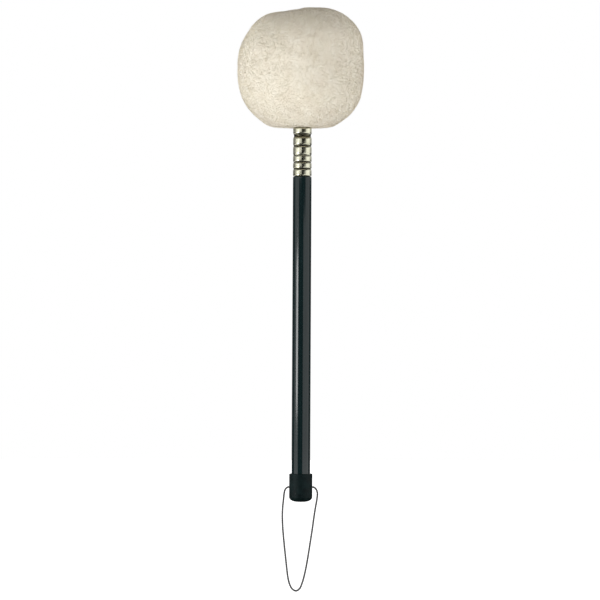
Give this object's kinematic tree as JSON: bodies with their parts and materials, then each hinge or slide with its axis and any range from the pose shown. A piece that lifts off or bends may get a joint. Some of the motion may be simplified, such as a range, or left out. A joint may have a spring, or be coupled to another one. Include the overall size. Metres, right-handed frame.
{
  "type": "gong mallet",
  "caption": "Large gong mallet: squarish fleece-covered padded head on a straight black tube handle, with a ringed brass ferrule, a rubber butt cap and a thin hanging cord loop.",
  "frame": {"origin": "on the handle's axis where the hand grips it, 90 mm above the butt", "axes": "+Z along the handle towards the head; +X towards one of the loop cord's two exits, along the loop's hinge line"},
  "size_m": [0.1078, 0.1078, 0.4964],
  "materials": {
    "fleece": "short, dense cream wool pile",
    "thread": "waxed thread",
    "felt": "pressed grey felt",
    "beech": "turned and bare",
    "plated_steel": "zinc plated",
    "brass": "polished, pale",
    "black_enamel": "glossy black enamel",
    "rubber": "moulded matt black",
    "cord": "fine braided dark grey cord"
  },
  "bodies": {
    "mallet": {"fleece_cover": "fleece", "neck_tie": "thread", "felt_base": "felt", "felt_wrap": "felt", "felt_crown": "felt", "core": "beech", "core_stud": "plated_steel", "core_washer": "plated_steel", "core_nut": "plated_steel", "ferrule": "brass", "handle": "black_enamel", "end_cap": "rubber"},
    "loop": {"hanging_loop": "cord", "loop_knot": "cord"}
  },
  "joints": [
    {"name": "loop_swing", "type": "hinge", "parent": "mallet", "child": "loop", "pos_m": [0, 0, -0.0774], "axis": [1, 0, 0], "range_deg": [-170, 170]}
  ]
}
